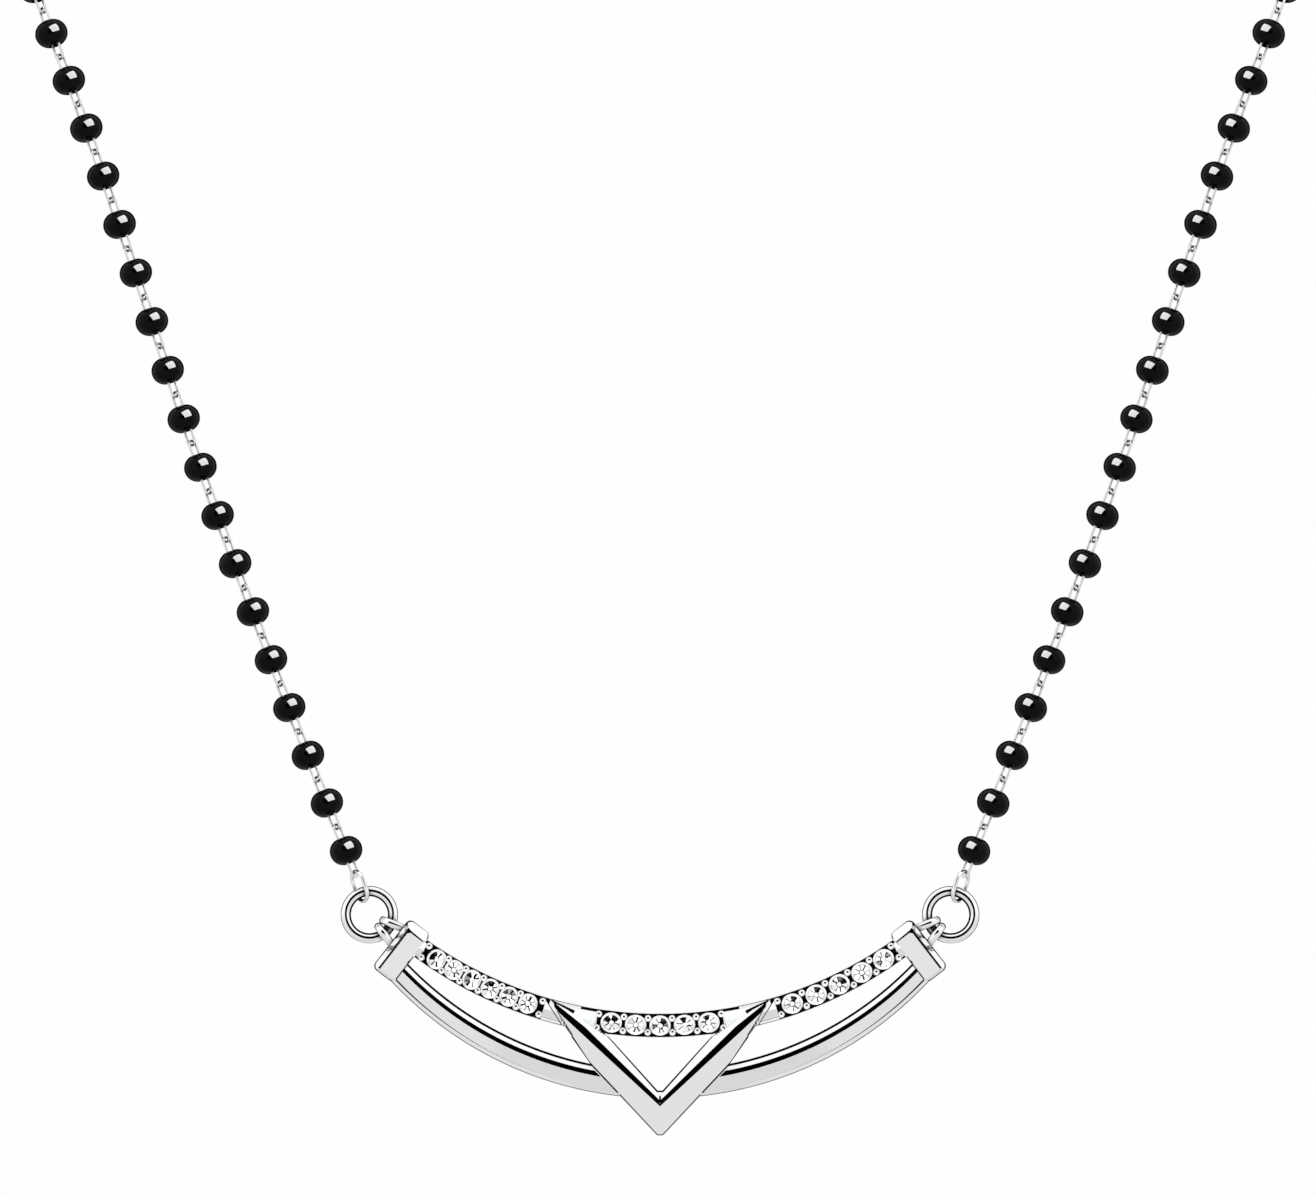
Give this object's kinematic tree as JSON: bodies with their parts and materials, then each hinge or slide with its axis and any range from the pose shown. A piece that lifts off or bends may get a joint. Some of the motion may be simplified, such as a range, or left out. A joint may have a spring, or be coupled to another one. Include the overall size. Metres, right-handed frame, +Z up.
{
  "type": "mangalsutra necklace",
  "caption": "Black-bead necklace with a V-shaped pendant of curved bars set with small clear stones, closed by a plain clasp at the nape.",
  "frame": {"origin": "middle of the neck, level with the string at the nape", "axes": "+Z up along the neck, the pendant hangs at -Y and below, the clasp is at +Y, +X to the right as the front is seen"},
  "size_m": [0.107, 0.1002, 0.1128],
  "materials": {
    "white_metal": "polished, rhodium plated",
    "black_glass": "polished, opaque",
    "cut_stone": "faceted, clear"
  },
  "bodies": {
    "root": {"pendant_frame": "white_metal", "stone_left_1": "cut_stone", "stone_left_2": "cut_stone", "stone_left_3": "cut_stone", "stone_left_4": "cut_stone", "stone_left_5": "cut_stone", "stone_left_6": "cut_stone", "stone_middle_1": "cut_stone", "stone_middle_2": "cut_stone", "stone_middle_3": "cut_stone", "stone_middle_4": "cut_stone", "stone_middle_5": "cut_stone", "stone_right_1": "cut_stone", "stone_right_2": "cut_stone", "stone_right_3": "cut_stone", "stone_right_4": "cut_stone", "stone_right_5": "cut_stone", "ring_left": "white_metal", "ring_right": "white_metal", "end_link_left": "white_metal", "end_link_right": "white_metal", "beads_left": "black_glass", "beads_right": "black_glass", "chain_left": "white_metal", "chain_right": "white_metal", "clasp": "white_metal"}
  },
  "joints": []
}
